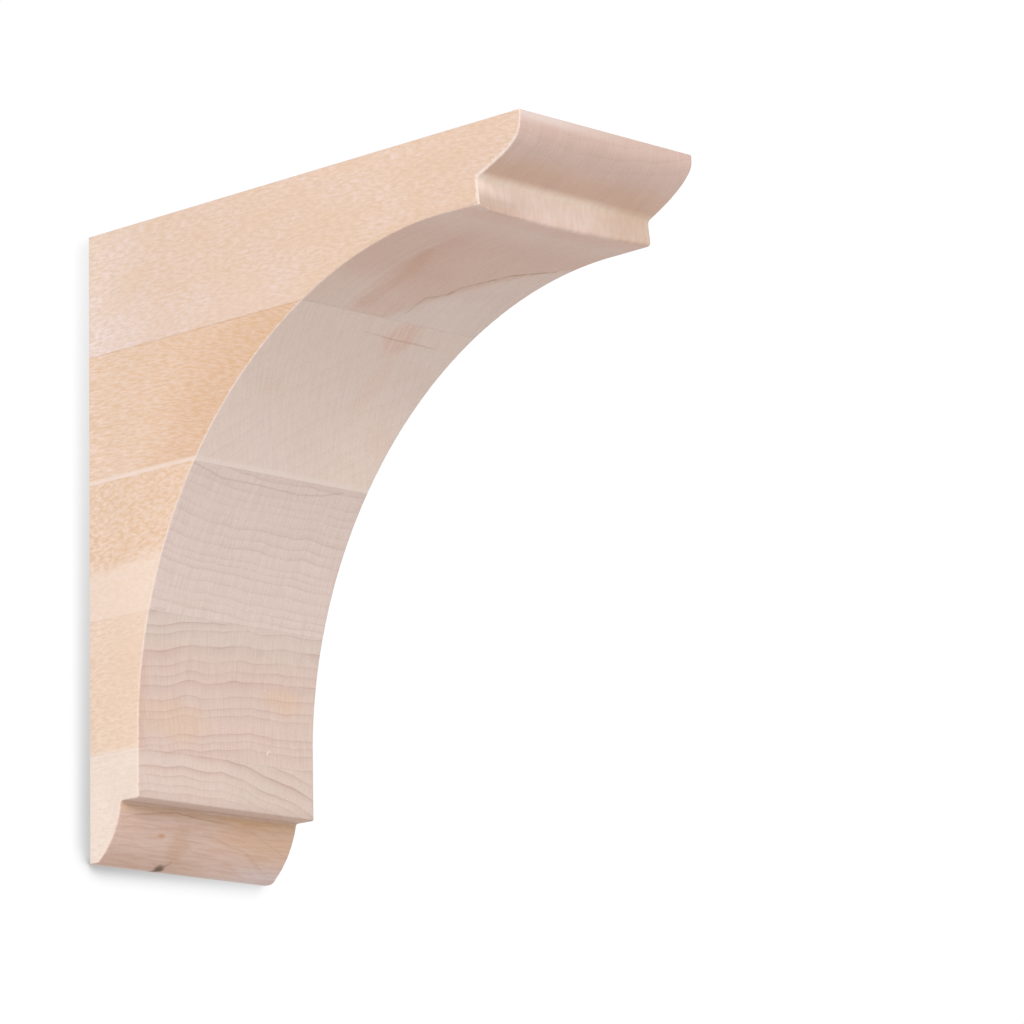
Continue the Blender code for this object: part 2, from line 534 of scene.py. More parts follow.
ARRIS_COLOUR = (0.71, 0.58, 0.51, 1)
ARRIS_PULL = 0.85
WORN_ARRIS_PULL = 0.35

# Skin of sanded maple: roughness in the pores and on the wood, and the relief of its grain
ROUGHNESS = (0.74, 0.58)
SHEEN = 0.30
GRAIN_RELIEF = 0.30
GRAIN_DEPTH = 0.00010


def placed_group(tree, group, inputs):
    """A node group placed in a material with its own values; gives its outputs."""
    item = add_node(tree, "Group", node_tree=group)
    for socket, value in inputs.items():
        if isinstance(value, bpy.types.NodeSocket):
            tree.links.new(value, item.inputs[socket])
        else:
            item.inputs[socket].default_value = value
    return item.outputs


def spotted(tree, position, centre, size, raggedness=0.7):
    """Mask of one spot in a material."""
    values = {"Position": position, "Centre": centre, "Size": size, "Raggedness": raggedness}
    return placed_group(tree, spot, values)["Mask"]


def lined(tree, position, points, width, waver=0.0006):
    """Mask of one bent hairline through a row of points in a material."""
    mask = 0
    for start, end in zip(points, points[1:]):
        values = {"Position": position, "Start": start, "End": end, "Width": width, "Waver": waver}
        mask = maths(tree, "MAXIMUM", placed_group(tree, hairline, values)["Mask"], mask)
    return mask


def stained(tree, colour, mask, strength, stain):
    """A colour with a stain laid over it where a mask says."""
    return blended(tree, maths(tree, "MULTIPLY", mask, strength), colour, (*stain, 1))


def meeting(tree, *masks):
    """The mask where several masks meet."""
    shared = masks[0]
    for mask in masks[1:]:
        shared = maths(tree, "MULTIPLY", shared, mask)
    return shared


def bare_maple(name, figure):
    """A material of sanded, unfinished maple; gives it, its tree, its wood and where each point lies."""
    material = bpy.data.materials.new(name)
    material.use_nodes = True
    tree = material.node_tree
    position = add_node(tree, "TexCoord").outputs["Object"]
    wood = placed_group(tree, maple, {"Position": position, **figure})
    return material, tree, wood, position


def sanded(tree, colour, wood, position, arris_pull=ARRIS_PULL):
    """Lay the softened arrises over a wood's colour and give it the skin of sanded maple."""
    arris = placed_group(tree, softened_arris, {"Position": position})["Mask"]
    rubbed = blended(tree, maths(tree, "MULTIPLY", arris, arris_pull), colour, ARRIS_COLOUR)
    surface = tree.nodes["Principled BSDF"]
    tree.links.new(rubbed, surface.inputs["Base Color"])
    tree.links.new(graded(tree, wood["Height"], *ROUGHNESS), surface.inputs["Roughness"])
    surface.inputs["Specular IOR Level"].default_value = SHEEN
    relief = add_node(
        tree, "Bump", {"Strength": GRAIN_RELIEF, "Distance": GRAIN_DEPTH, "Height": wood["Height"]}
    )
    tree.links.new(relief.outputs["Normal"], surface.inputs["Normal"])


# Marks in this board. A level (ACROSS, OUT, UP or RANGE) says where a mark starts and where
# it is full, in metres. A tint multiplies the wood's colour, and a stain covers it.
BOWED_UP = (-0.0832, -0.084)
BOWED_STRENGTH = 0.5
BOWED_STAIN = (0.67, 0.53, 0.47)
BOWED_TINT = (0.962, 0.882, 0.838)
WAVY_GRAIN_SIZE = (0.009, 0.006, 0.0007)
WAVY_GRAIN_RANGE = (0.4, 0.66)
WAVY_GRAIN_TINT = (0.935, 0.88, 0.85)
UNDER_LEDGE_UP = (-0.0872, -0.085)
UNDER_LEDGE_TINT = (1.08, 1.1, 1.01)
HONEY_PLACE = (0.024, -0.0125, -0.089)
HONEY_SIZE = (0.028, 0.02, 0.011)
HONEY_TINT = (1.0, 0.94, 0.82)
PINK_TOE_ACROSS = (0.012, 0.03)
PINK_TOE_UP = (-0.096, -0.1)
PINK_TOE_TINT = (1.0, 1.09, 1.21)
BROWN_TOE_ACROSS = (0.01, -0.005)
BROWN_TOE_UP = (-0.0955, -0.1005)
BROWN_TOE_TINT = (0.93, 0.89, 0.86)
# Painted shade on the ledge, the underside of the riser
LEDGE_SHADE_UP = (-0.0825, -0.0831)
LEDGE_SHADE_OUT = (-0.014, -0.0155)
LEDGE_SHADE_TINT = (0.91, 0.84, 0.79)
RISER_RIGHT_ACROSS = (-0.005, 0.01)
RISER_RIGHT_OUT = (-0.02, -0.0225)
RISER_RIGHT_TINT = (0.965, 0.975, 0.965)
# Painted shade on the rounded foot of the riser, just above the ledge
SHADE_ABOVE_LEDGE_UP = (-0.079, -0.0826)
SHADE_ABOVE_LEDGE_OUT = (-0.0222, -0.0228)
SHADE_ABOVE_LEDGE_TINT = (0.94, 0.925, 0.92)
# Painted shade in the cove at the ledge's inner corner
COVE_SHADE_OUT = (-0.018, -0.0158)
COVE_SHADE_TINT = (0.86, 0.825, 0.79)
WAVY_POINTS = [
    (-0.0359, -0.0136, -0.0883), (-0.0317, -0.014, -0.0869), (-0.0208, -0.0144, -0.0854),
    (-0.014, -0.0146, -0.0846), (-0.006, -0.0144, -0.0854), (0.0026, -0.0143, -0.0858),
    (0.013, -0.0142, -0.0864), (0.0243, -0.0141, -0.0869),
]
WAVY_WIDTH = 0.0004
WAVY_ENDS_RANGE = (0.036, 0.008)
WAVY_STRENGTH = 0.38
WAVY_STAIN = (0.36, 0.19, 0.12)
BROWN_HEART_PLACE = (-0.0095, -0.009, -0.094)
BROWN_HEART_SIZE = (0.0055, 0.01, 0.01)
BROWN_HEART_TINT = (0.935, 0.89, 0.82)
HEART_CHECK_POINTS = [
    (-0.0092, -0.0055, -0.099), (-0.0088, -0.008, -0.0962), (-0.0109, -0.0108, -0.0927),
]
HEART_CHECK_WIDTH = 0.0006
HEART_CHECK_STRENGTH = 0.22
HEART_CHECK_STAIN = (0.36, 0.22, 0.17)
CHECK_END_POINTS = [(-0.0125, -0.0035, -0.1013), (-0.0092, -0.006, -0.0985)]
CHECK_END_WIDTH = 0.001
CHECK_END_STRENGTH = 0.75
CHECK_END_STAIN = (0.18, 0.12, 0.09)
RESIN_PLACE = (-0.018, -0.0112, -0.092)
RESIN_SIZE = (0.0024, 0.003, 0.0009)
RESIN_STRENGTH = 0.85
RESIN_STAIN = (0.52, 0.3, 0.16)
KNOT_PLACE = (-0.0122, -0.0035, -0.1012)
KNOT_SIZE = (0.0028, 0.0042, 0.0021)
KNOT_STRENGTH = 0.92
KNOT_STAIN = (0.16, 0.1, 0.07)
BELOW_LEDGE_UP = (-0.083, -0.085)
WAVY_PEAK = -0.0140

foot_wood, tree, wood, position = bare_maple("foot_board_maple", {
    "Side Colour": (0.745, 0.625, 0.545, 1),
    "Face Colour": (0.690, 0.550, 0.490, 1),
    "Cloud Colour": (0.690, 0.540, 0.450, 1),
    "Cloud Strength": 0.25,
    "Ring Colour": (0.42, 0.26, 0.21, 1),
    "Ring Strength": 0.72,
    "Ring Spacing": 0.0034,
    "Ring Wave": 0.0042,
    "Pith Across": -0.0150,
    "Pith Height": -0.2145,
    "Fleck Colour": (0.710, 0.570, 0.480, 1),
    "Fleck Strength": 0.45,
    "Fleck Size": (0.0015, 0.0035, 0.0009),
    "Grain Dip": 0.0,
    "Ray Strength": 0.10,
})
# The bowed face cuts the grain on a slant, so it soaks up more light and looks browner. The ledge under
# the riser and the cove below it are darkened with painted shade.
place = add_node(tree, "SeparateXYZ", {0: position}).outputs
front = wood["Front"]
bowed = meeting(tree, front, rising(tree, place["Z"], *BOWED_UP))
colour = stained(tree, wood["Colour"], bowed, BOWED_STRENGTH, BOWED_STAIN)
colour = tinted(tree, colour, bowed, BOWED_TINT)
wavy_grain = rising(tree, flecked(tree, position, WAVY_GRAIN_SIZE, 4), *WAVY_GRAIN_RANGE)
colour = tinted(tree, colour, meeting(tree, bowed, wavy_grain), WAVY_GRAIN_TINT)
under_ledge = meeting(tree, bowed, rising(tree, place["Z"], *UNDER_LEDGE_UP))
colour = tinted(tree, colour, under_ledge, UNDER_LEDGE_TINT)
honey = spotted(tree, position, HONEY_PLACE, HONEY_SIZE)
colour = tinted(tree, colour, meeting(tree, bowed, honey), HONEY_TINT)
pink_toe = meeting(
    tree, bowed, rising(tree, place["X"], *PINK_TOE_ACROSS), rising(tree, place["Z"], *PINK_TOE_UP)
)
colour = tinted(tree, colour, pink_toe, PINK_TOE_TINT)
brown_toe = meeting(
    tree, bowed, rising(tree, place["X"], *BROWN_TOE_ACROSS), rising(tree, place["Z"], *BROWN_TOE_UP)
)
colour = tinted(tree, colour, brown_toe, BROWN_TOE_TINT)
# Painted shade on the ledge, the underside of the riser
ledge = meeting(tree, front, rising(tree, place["Z"], *LEDGE_SHADE_UP), rising(tree, place["Y"], *LEDGE_SHADE_OUT))
colour = tinted(tree, colour, ledge, LEDGE_SHADE_TINT)
riser_right = meeting(
    tree, front, rising(tree, place["X"], *RISER_RIGHT_ACROSS),
    rising(tree, place["Y"], *RISER_RIGHT_OUT),
)
colour = tinted(tree, colour, riser_right, RISER_RIGHT_TINT)
# Painted shade on the rounded foot of the riser, just above the ledge
painted_shade_above_ledge = meeting(
    tree, front, rising(tree, place["Z"], *SHADE_ABOVE_LEDGE_UP), rising(tree, place["Y"], *SHADE_ABOVE_LEDGE_OUT)
)
colour = tinted(tree, colour, painted_shade_above_ledge, SHADE_ABOVE_LEDGE_TINT)
# Painted shade, deeper still, in the cove where the ledge meets the bowed face
corner = meeting(tree, ledge, rising(tree, place["Y"], *COVE_SHADE_OUT))
colour = tinted(tree, colour, corner, COVE_SHADE_TINT)
wavy = lined(tree, position, WAVY_POINTS, WAVY_WIDTH)
from_wavy_peak = maths(tree, "ABSOLUTE", maths(tree, "SUBTRACT", place["X"], WAVY_PEAK))
wavy_ends = rising(tree, from_wavy_peak, *WAVY_ENDS_RANGE)
colour = stained(tree, colour, meeting(tree, wavy, wavy_ends), WAVY_STRENGTH, WAVY_STAIN)
brown_heart = spotted(tree, position, BROWN_HEART_PLACE, BROWN_HEART_SIZE, raggedness=0.4)
colour = tinted(tree, colour, meeting(tree, bowed, brown_heart), BROWN_HEART_TINT)
heart_check = lined(tree, position, HEART_CHECK_POINTS, HEART_CHECK_WIDTH)
colour = stained(tree, colour, heart_check, HEART_CHECK_STRENGTH, HEART_CHECK_STAIN)
check_end = lined(tree, position, CHECK_END_POINTS, CHECK_END_WIDTH)
colour = stained(tree, colour, check_end, CHECK_END_STRENGTH, CHECK_END_STAIN)
resin = spotted(tree, position, RESIN_PLACE, RESIN_SIZE)
colour = stained(tree, colour, resin, RESIN_STRENGTH, RESIN_STAIN)
knot = spotted(tree, position, KNOT_PLACE, KNOT_SIZE, raggedness=0.5)
colour = stained(tree, colour, knot, KNOT_STRENGTH, KNOT_STAIN)
below_ledge = rising(tree, place["Z"], *BELOW_LEDGE_UP)
bowed_arris = graded(tree, below_ledge, ARRIS_PULL, WORN_ARRIS_PULL)
sanded(tree, colour, wood, position, bowed_arris)
foot_board = swept_board(foot_outline, [FOOT_TOP - GLUE_LINE / 2], FOOT_SPACING)
glued_in_place("foot_board", foot_board, foot_wood)


# Lower board. The second board up, straight at its foot and then the start of the
# quarter-round hollow. Its rings rise to the right, and a warm patch hides some of them.

LOWER_TOP = 0.0770
HOLLOW_RADIUS = 0.1380
HOLLOW_OUT = 0.1610
HOLLOW_UP = 0.0394
HOLLOW_STEP = 0.25


def hollow_points(low, high):
    """Points up the quarter-round hollow from one height above the sole to another."""
    centre = Vector((HOLLOW_OUT, HOLLOW_UP))
    start = 180 - math.degrees(math.asin((low - HOLLOW_UP) / HOLLOW_RADIUS))
    end = 180 - math.degrees(math.asin((high - HOLLOW_UP) / HOLLOW_RADIUS))
    steps = round((start - end) / HOLLOW_STEP)
    return round_points(centre, HOLLOW_RADIUS, start, end, steps)


def lower_outline(across):
    """The lower board's outline: glue line, riser, first stretch of the hollow, glue line, back."""
    low = FOOT_TOP + GLUE_LINE / 2
    high = LOWER_TOP - GLUE_LINE / 2
    return [
        Vector((0, low)), Vector((RISER_DEPTH, low)), *hollow_points(HOLLOW_UP, high), Vector((0, high))
    ]


# Marks in this board, with their levels, sizes, tints and stains
WARM_PLACE = (-0.0225, -0.0235, -0.0575)
WARM_SIZE = (0.02, 0.02, 0.01)
WARM_RIGHT_PLACE = (0.023, -0.024, -0.0465)
WARM_RIGHT_SIZE = (0.012, 0.02, 0.006)
WARMTH_TINT = (1.03, 0.985, 0.9)
PALER_BELOW_SEAM_UP = (-0.038, -0.03)
PALER_BELOW_SEAM_TINT = (0.995, 1.045, 1.055)
BLUSH_ACROSS = (-0.0325, -0.0365)
BLUSH_UP = (-0.036, -0.044)
BLUSH_TINT = (0.97, 0.9, 0.86)
FUZZY_SIZE = (0.003, 0.003, 0.0014)
PALER_FOOT_RANGE = (-0.065, -0.0664)
PALER_FOOT_STRENGTH = 0.6
PALER_FOOT_STAIN = (0.74, 0.62, 0.54)
PALER_TOP_UP = (-0.042, -0.026)
PALER_TOP_TINT = (1.015, 1.03, 1.045)
CHIP_POINTS = [(0.0172, -0.023, -0.0637), (0.0182, -0.023, -0.0627)]
CHIP_WIDTH = 0.0004
CHIP_STRENGTH = 0.6
CHIP_STAIN = (0.84, 0.74, 0.68)
FUZZY_DEPTH = 0.0020

lower_wood, tree, wood, position = bare_maple("lower_board_maple", {
    "Side Colour": (0.746, 0.568, 0.443, 1),
    "Face Colour": (0.675, 0.534, 0.468, 1),
    "Cloud Colour": (0.700, 0.520, 0.410, 1),
    "Cloud Strength": 0.35,
    "Ring Colour": (0.44, 0.27, 0.24, 1),
    "Ring Strength": 0.72,
    "Ring Spacing": 0.0038,
    "Ring Wave": 0.0040,
    "Pith Across": 0.0350,
    "Pith Height": -0.4300,
    "Fleck Colour": (0.680, 0.505, 0.385, 1),
    "Fleck Strength": 1.0,
    "Fleck Size": (0.0015, 0.0032, 0.0009),
    "Grain Dip": 0.0,
    "Ray Strength": 0.16,
})
place = add_node(tree, "SeparateXYZ", {0: position}).outputs
front = wood["Front"]
warm = spotted(tree, position, WARM_PLACE, WARM_SIZE)
warm_right = spotted(tree, position, WARM_RIGHT_PLACE, WARM_RIGHT_SIZE)
warmth = meeting(tree, front, maths(tree, "MAXIMUM", warm, warm_right))
colour = tinted(tree, wood["Colour"], warmth, WARMTH_TINT)
paler_below_seam = meeting(tree, front, rising(tree, place["Z"], *PALER_BELOW_SEAM_UP))
colour = tinted(tree, colour, paler_below_seam, PALER_BELOW_SEAM_TINT)
blush = meeting(
    tree, front, rising(tree, place["X"], *BLUSH_ACROSS), rising(tree, place["Z"], *BLUSH_UP)
)
colour = tinted(tree, colour, blush, BLUSH_TINT)
fuzzy = flecked(tree, position, FUZZY_SIZE, 2)
fuzzy_level = maths(tree, "ADD", place["Z"], maths(tree, "MULTIPLY", fuzzy, FUZZY_DEPTH))
paler_foot = meeting(tree, wood["Side"], rising(tree, fuzzy_level, *PALER_FOOT_RANGE))
colour = stained(tree, colour, paler_foot, PALER_FOOT_STRENGTH, PALER_FOOT_STAIN)
paler_top = meeting(tree, wood["Side"], rising(tree, place["Z"], *PALER_TOP_UP))
colour = tinted(tree, colour, paler_top, PALER_TOP_TINT)
chip = lined(tree, position, CHIP_POINTS, CHIP_WIDTH)
colour = stained(tree, colour, chip, CHIP_STRENGTH, CHIP_STAIN)
sanded(tree, colour, wood, position)
lower_levels = [FOOT_TOP + GLUE_LINE / 2, LOWER_TOP - GLUE_LINE / 2]
glued_in_place("lower_board", swept_board(lower_outline, lower_levels, WIDTH), lower_wood)


# Middle board. The third board up. Its rings hang like bowls, because its pith lies
# above it, and on the side strong orange flecks give way to pale sapwood lower down.

MIDDLE_TOP = 0.1211


def middle_outline(across):
    """The middle board's outline: glue line, a stretch of the hollow, glue line and back."""
    low = LOWER_TOP + GLUE_LINE / 2
    high = MIDDLE_TOP - GLUE_LINE / 2
    return [Vector((0, low)), *hollow_points(low, high), Vector((0, high))]


def on_hollow(across, out):
    """The point of the hollow at a place across and a distance out from the wall."""
    up = HOLLOW_UP + math.sqrt(HOLLOW_RADIUS ** 2 - (HOLLOW_OUT - out) ** 2)
    return (across, -out, SOLE_LEVEL + up)


def on_hollow_up(across, up):
    """The point of the hollow at a place across and a height above the sole."""
    out = HOLLOW_OUT - math.sqrt(HOLLOW_RADIUS ** 2 - (up - HOLLOW_UP) ** 2)
    return (across, -out, SOLE_LEVEL + up)


# Marks in this board, with their levels, sizes, tints and stains
RAGGED_SIZE = (0.004, 0.006, 0.0014)
SAPWOOD_RANGE = (-0.0015, -0.0065)
SAPWOOD_SIDE_STRENGTH = 0.62
SAPWOOD_SIDE_STAIN = (0.76, 0.625, 0.54)
BOWL_POINTS = [
    on_hollow_up(-0.037, 0.1206), on_hollow_up(-0.031, 0.1194), on_hollow_up(-0.0236, 0.1179),
    on_hollow_up(-0.0075, 0.1178), on_hollow_up(0.0094, 0.1172), on_hollow_up(0.0192, 0.1182),
    on_hollow_up(0.0272, 0.12),
]
BOWL_WIDTH = 0.0005
BOWL_STRENGTH = 0.3
BOWL_STAIN = (0.44, 0.3, 0.26)
EYE_POINTS = [on_hollow_up(-0.0346, 0.0778), on_hollow_up(-0.0306, 0.078)]
EYE_WIDTH = 0.0006
EYE_STRENGTH = 0.15
EYE_STAIN = (0.42, 0.27, 0.23)
SAPWOOD_WANDER = 0.0100
SAPWOOD_LEAN = 0.07

middle_wood, tree, wood, position = bare_maple("middle_board_maple", {
    "Side Colour": (0.740, 0.558, 0.450, 1),
    "Face Colour": (0.700, 0.576, 0.518, 1),
    "Cloud Colour": (0.690, 0.520, 0.430, 1),
    "Cloud Strength": 0.25,
    "Ring Colour": (0.44, 0.28, 0.25, 1),
    "Ring Strength": 0.42,
    "Ring Spacing": 0.0029,
    "Ring Wave": 0.0036,
    "Pith Across": 0.0220,
    "Pith Height": 0.6500,
    "Fleck Colour": (0.640, 0.417, 0.250, 1),
    "Fleck Strength": 0.78,
    "Fleck Size": (0.0018, 0.0024, 0.0010),
    "Grain Dip": 0.0,
    "Ray Strength": 0.13,
})
place = add_node(tree, "SeparateXYZ", {0: position}).outputs
ragged = flecked(tree, position, RAGGED_SIZE, 4)
wander = maths(tree, "MULTIPLY", ragged, SAPWOOD_WANDER)
lean = maths(tree, "MULTIPLY", place["Y"], SAPWOOD_LEAN)
edge_of_sapwood = maths(tree, "ADD", maths(tree, "ADD", place["Z"], lean), wander)
sapwood = rising(tree, edge_of_sapwood, *SAPWOOD_RANGE)
sapwood_side = meeting(tree, sapwood, wood["Side"])
colour = stained(tree, wood["Colour"], sapwood_side, SAPWOOD_SIDE_STRENGTH, SAPWOOD_SIDE_STAIN)
bowl = lined(tree, position, BOWL_POINTS, BOWL_WIDTH)
colour = stained(tree, colour, bowl, BOWL_STRENGTH, BOWL_STAIN)
eye = lined(tree, position, EYE_POINTS, EYE_WIDTH)
colour = stained(tree, colour, eye, EYE_STRENGTH, EYE_STAIN)
sanded(tree, colour, wood, position)
middle_levels = [LOWER_TOP + GLUE_LINE / 2, MIDDLE_TOP - GLUE_LINE / 2]
glued_in_place("middle_board", swept_board(middle_outline, middle_levels, WIDTH), middle_wood)


# Upper board. The fourth board up, the most strongly flecked on its sides. Its face shows
# no clear rings, only faint slanting bands, and a pale stripe runs along its lower glue line.

UPPER_TOP = 0.1630


def upper_outline(across):
    """The upper board's outline: glue line, a stretch of the hollow, glue line and back."""
    low = MIDDLE_TOP + GLUE_LINE / 2
    high = UPPER_TOP - GLUE_LINE / 2
    return [Vector((0, low)), *hollow_points(low, high), Vector((0, high))]


# Marks in this board, with their levels, sizes, tints and stains
NEAR_HOLLOW_TINT = (0.935, 0.885, 0.83)
NEAR_WALL_OUT = (-0.05, -0.01)
NEAR_WALL_TINT = (1.03, 1.055, 1.085)
LOW_ON_SIDE_UP = (0.04, 0.025)
LOW_ON_SIDE_TINT = (1.02, 1.035, 1.065)
UNDER_SEAM_UP = (0.0608, 0.0613)
UNDER_SEAM_TINT = (0.93, 0.9, 0.88)
LOW_ON_FACE_UP = (0.056, 0.028)
LOW_ON_FACE_TINT = (1.044, 1.061, 1.068)
RIGHT_BLOTCH_PLACE = (0.032, -0.056, 0.034)
RIGHT_BLOTCH_SIZE = (0.011, 0.02, 0.0065)
LEFT_BLOTCH_PLACE = (-0.024, -0.064, 0.043)
LEFT_BLOTCH_SIZE = (0.01, 0.02, 0.005)
BLOTCHES_TINT = (0.995, 0.96, 0.95)
RED_PATCH_PLACE = on_hollow_up(0.0105, 0.16)
RED_PATCH_SIZE = (0.0085, 0.02, 0.007)
REDDENED_TINT = (0.99, 0.93, 0.9)
RED_RAYS_TINT = (0.975, 0.9, 0.88)
RED_TRAIL_PLACE = on_hollow_up(0.015, 0.148)
RED_TRAIL_SIZE = (0.006, 0.02, 0.012)
RED_TRAIL_TINT = (1.0, 0.96, 0.95)
PALE_RIGHT_ACROSS = (0.0, 0.025)
PALE_RIGHT_UP = (0.05, 0.03)
PALE_RIGHT_TINT = (1.05, 1.045, 1.035)
BROWN_LINE_POINTS = [
    on_hollow_up(-0.008, 0.1597), on_hollow_up(0.008, 0.1592), on_hollow_up(0.02, 0.1592),
    on_hollow_up(0.031, 0.159),
]
BROWN_LINE_WIDTH = 0.0006
BROWN_START_ACROSS = (-0.01, 0.008)
BROWN_END_ACROSS = (0.034, 0.018)
BROWN_LINE_STRENGTH = 0.42
BROWN_LINE_STAIN = (0.48, 0.3, 0.2)
STRIPE_UP = (0.0216, 0.0204)
STRIPE_STRENGTH = 0.6
STRIPE_STAIN = (0.77, 0.65, 0.59)
NEAR_HOLLOW_REACH = 0.030

upper_wood, tree, wood, position = bare_maple("upper_board_maple", {
    "Side Colour": (0.712, 0.526, 0.419, 1),
    "Face Colour": (0.715, 0.580, 0.515, 1),
    "Cloud Colour": (0.690, 0.500, 0.380, 1),
    "Cloud Strength": 0.35,
    "Ring Colour": (0.46, 0.30, 0.25, 1),
    "Ring Strength": 0.20,
    "Ring Spacing": 0.0046,
    "Ring Wave": 0.0040,
    "Pith Across": 0.2500,
    "Pith Height": -0.3000,
    "Fleck Colour": (0.640, 0.420, 0.262, 1),
    "Fleck Strength": 0.90,
    "Fleck Size": (0.0018, 0.0038, 0.0006),
    "Grain Dip": 1.75,
    "Ray Strength": 0.10,
})
HOLLOW_CENTRE = (0, -HOLLOW_OUT, SOLE_LEVEL + HOLLOW_UP)
place = add_node(tree, "SeparateXYZ", {0: position}).outputs
front = wood["Front"]
flattened = add_node(tree, "CombineXYZ", {1: place["Y"], 2: place["Z"]}).outputs[0]
from_centre = add_node(
    tree, "VectorMath", {0: flattened, 1: HOLLOW_CENTRE}, operation="DISTANCE"
).outputs["Value"]
near_hollow = rising(tree, from_centre, HOLLOW_RADIUS + NEAR_HOLLOW_REACH, HOLLOW_RADIUS)
near_hollow = meeting(tree, near_hollow, wood["Side"])
colour = tinted(tree, wood["Colour"], near_hollow, NEAR_HOLLOW_TINT)
near_wall = meeting(tree, wood["Side"], rising(tree, place["Y"], *NEAR_WALL_OUT))
colour = tinted(tree, colour, near_wall, NEAR_WALL_TINT)
low_on_side = meeting(tree, wood["Side"], rising(tree, place["Z"], *LOW_ON_SIDE_UP))
colour = tinted(tree, colour, low_on_side, LOW_ON_SIDE_TINT)
under_seam = meeting(tree, wood["Side"], rising(tree, place["Z"], *UNDER_SEAM_UP))
colour = tinted(tree, colour, under_seam, UNDER_SEAM_TINT)
low_on_face = meeting(tree, front, rising(tree, place["Z"], *LOW_ON_FACE_UP))
colour = tinted(tree, colour, low_on_face, LOW_ON_FACE_TINT)
right_blotch = spotted(tree, position, RIGHT_BLOTCH_PLACE, RIGHT_BLOTCH_SIZE)
left_blotch = spotted(tree, position, LEFT_BLOTCH_PLACE, LEFT_BLOTCH_SIZE)
blotches = maths(tree, "MAXIMUM", right_blotch, left_blotch)
colour = tinted(tree, colour, meeting(tree, blotches, front), BLOTCHES_TINT)
red_patch = spotted(tree, position, RED_PATCH_PLACE, RED_PATCH_SIZE, raggedness=0.3)
reddened = meeting(tree, red_patch, front)
colour = tinted(tree, colour, reddened, REDDENED_TINT)
red_rays = meeting(tree, reddened, wood["Rays"])
colour = tinted(tree, colour, red_rays, RED_RAYS_TINT)
red_trail = spotted(tree, position, RED_TRAIL_PLACE, RED_TRAIL_SIZE, raggedness=0.5)
colour = tinted(tree, colour, meeting(tree, red_trail, front), RED_TRAIL_TINT)
pale_right = meeting(
    tree, front, rising(tree, place["X"], *PALE_RIGHT_ACROSS), rising(tree, place["Z"], *PALE_RIGHT_UP)
)
colour = tinted(tree, colour, pale_right, PALE_RIGHT_TINT)
brown_line = lined(tree, position, BROWN_LINE_POINTS, BROWN_LINE_WIDTH)
brown_start = rising(tree, place["X"], *BROWN_START_ACROSS)
brown_end = rising(tree, place["X"], *BROWN_END_ACROSS)
brown_line = meeting(tree, brown_line, meeting(tree, brown_start, brown_end))
colour = stained(tree, colour, brown_line, BROWN_LINE_STRENGTH, BROWN_LINE_STAIN)
stripe = rising(tree, place["Z"], *STRIPE_UP)
colour = stained(tree, colour, stripe, STRIPE_STRENGTH, STRIPE_STAIN)
sanded(tree, colour, wood, position)
upper_levels = [MIDDLE_TOP + GLUE_LINE / 2, UPPER_TOP - GLUE_LINE / 2]
glued_in_place("upper_board", swept_board(upper_outline, upper_levels, WIDTH), upper_wood)


# Top board. It carries the flat top, the last stretch of the hollow and the moulded nose:
# a flat lip, an ogee and a fillet. The moulding is a little fuller at its left end.

BLOCK_HEIGHT = 0.2030
PROJECTION = 0.1945
LIP_ROUND = 0.0007
THROAT_TURN = 65
ROLL_POINTS = 71
FILLET_STEPS = 5
LIP_STEPS = 6
NOSE_SPACING = 0.003

# The moulding at its left and right ends: where the lip ends below, how round its roll is,
# where the throat of its cove lies, how tight the cove is, and where the fillet ends below
LIP = (Vector((0.1945, 0.2003)), Vector((0.1945, 0.2005)))
LIP_HANDLE = (0.0080, 0.0050)
COVE_HANDLE = (0.0100, 0.0080)
THROAT = (Vector((0.1758, 0.1846)), Vector((0.1758, 0.1846)))
COVE_RADIUS = (0.0014, 0.0016)
FILLET_EDGE = (Vector((0.1768, 0.1760)), Vector((0.1765, 0.1776)))
FILLET_SAG = 0.0007

TEAR_LENGTH = 0.0013
TEAR_TOP = 0.1965
TEAR_DEPTH = 1.4
TEAR_RAGGED = 2.6
FINE_TEAR = 2.7
TEAR_FADE = 0.006
BEHIND_THROAT = 0.0005
ABOVE_FILLET_EDGE = 0.0032
FILLET_ROUND = (0.0006, 0.0012)
CORNER_LIFT = 0.0014
CORNER_LIFT_LENGTH = 0.0065


